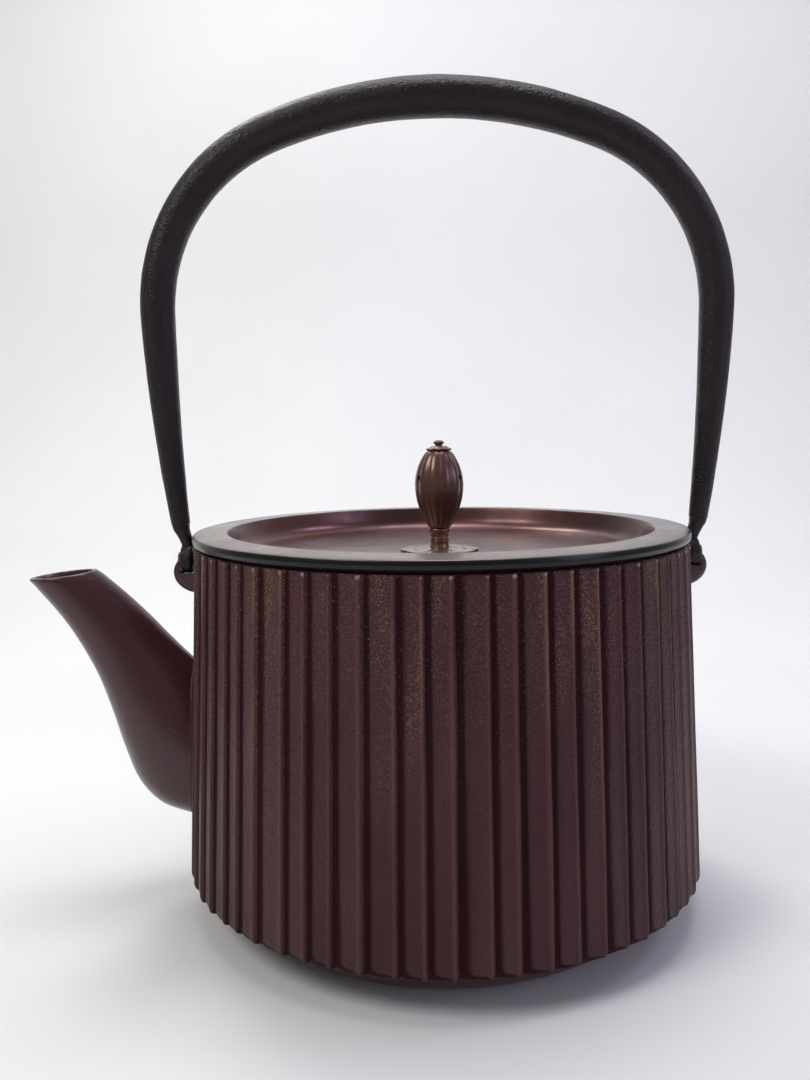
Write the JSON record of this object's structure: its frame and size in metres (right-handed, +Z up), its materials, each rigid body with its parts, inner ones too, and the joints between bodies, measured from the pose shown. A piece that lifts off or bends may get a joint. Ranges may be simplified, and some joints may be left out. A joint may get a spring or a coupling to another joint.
{
  "type": "teapot",
  "caption": "Ribbed cast iron kettle-style teapot with a dished lid, a flower-bud knob and a swinging bail.",
  "frame": {"origin": "centre of the flat base that the pot stands on", "axes": "+Z up, -X towards the spout's mouth, the bail stands in the XZ plane"},
  "size_m": [0.2176, 0.1592, 0.2493],
  "materials": {
    "pot_iron": "lacquered satin",
    "bail_iron": "forged satin",
    "lid_bronze": "patinated satin",
    "seat_bronze": "patinated satin",
    "stem_copper": "patinated satin",
    "knob_bronze": "patinated gloss"
  },
  "bodies": {
    "pot": {"pot_casting": "pot_iron", "pot_spout": "pot_iron"},
    "lid": {"lid_plate": "lid_bronze", "lid_collar_ring": "lid_bronze", "flower_washer": "seat_bronze", "backing_washer": "seat_bronze"},
    "knob": {"knob_stem": "stem_copper", "knob_bud": "knob_bronze", "knob_calyx": "knob_bronze", "knob_pin": "knob_bronze"},
    "bail": {"bail_tube": "bail_iron", "bail_end_right": "bail_iron", "bail_end_left": "bail_iron"}
  },
  "joints": [
    {"name": "lid_lift", "type": "slide", "parent": "pot", "child": "lid", "axis": [0, 0, 1], "range_m": [0, 0.06]},
    {"name": "knob_turn", "type": "hinge", "parent": "lid", "child": "knob", "pos_m": [0, 0, 0.1155], "axis": [0, 0, 1], "continuous": true},
    {"name": "bail_swing", "type": "hinge", "parent": "pot", "child": "bail", "pos_m": [0, 0, 0.1068], "axis": [1, 0, 0], "range_deg": [-118, 118]}
  ]
}
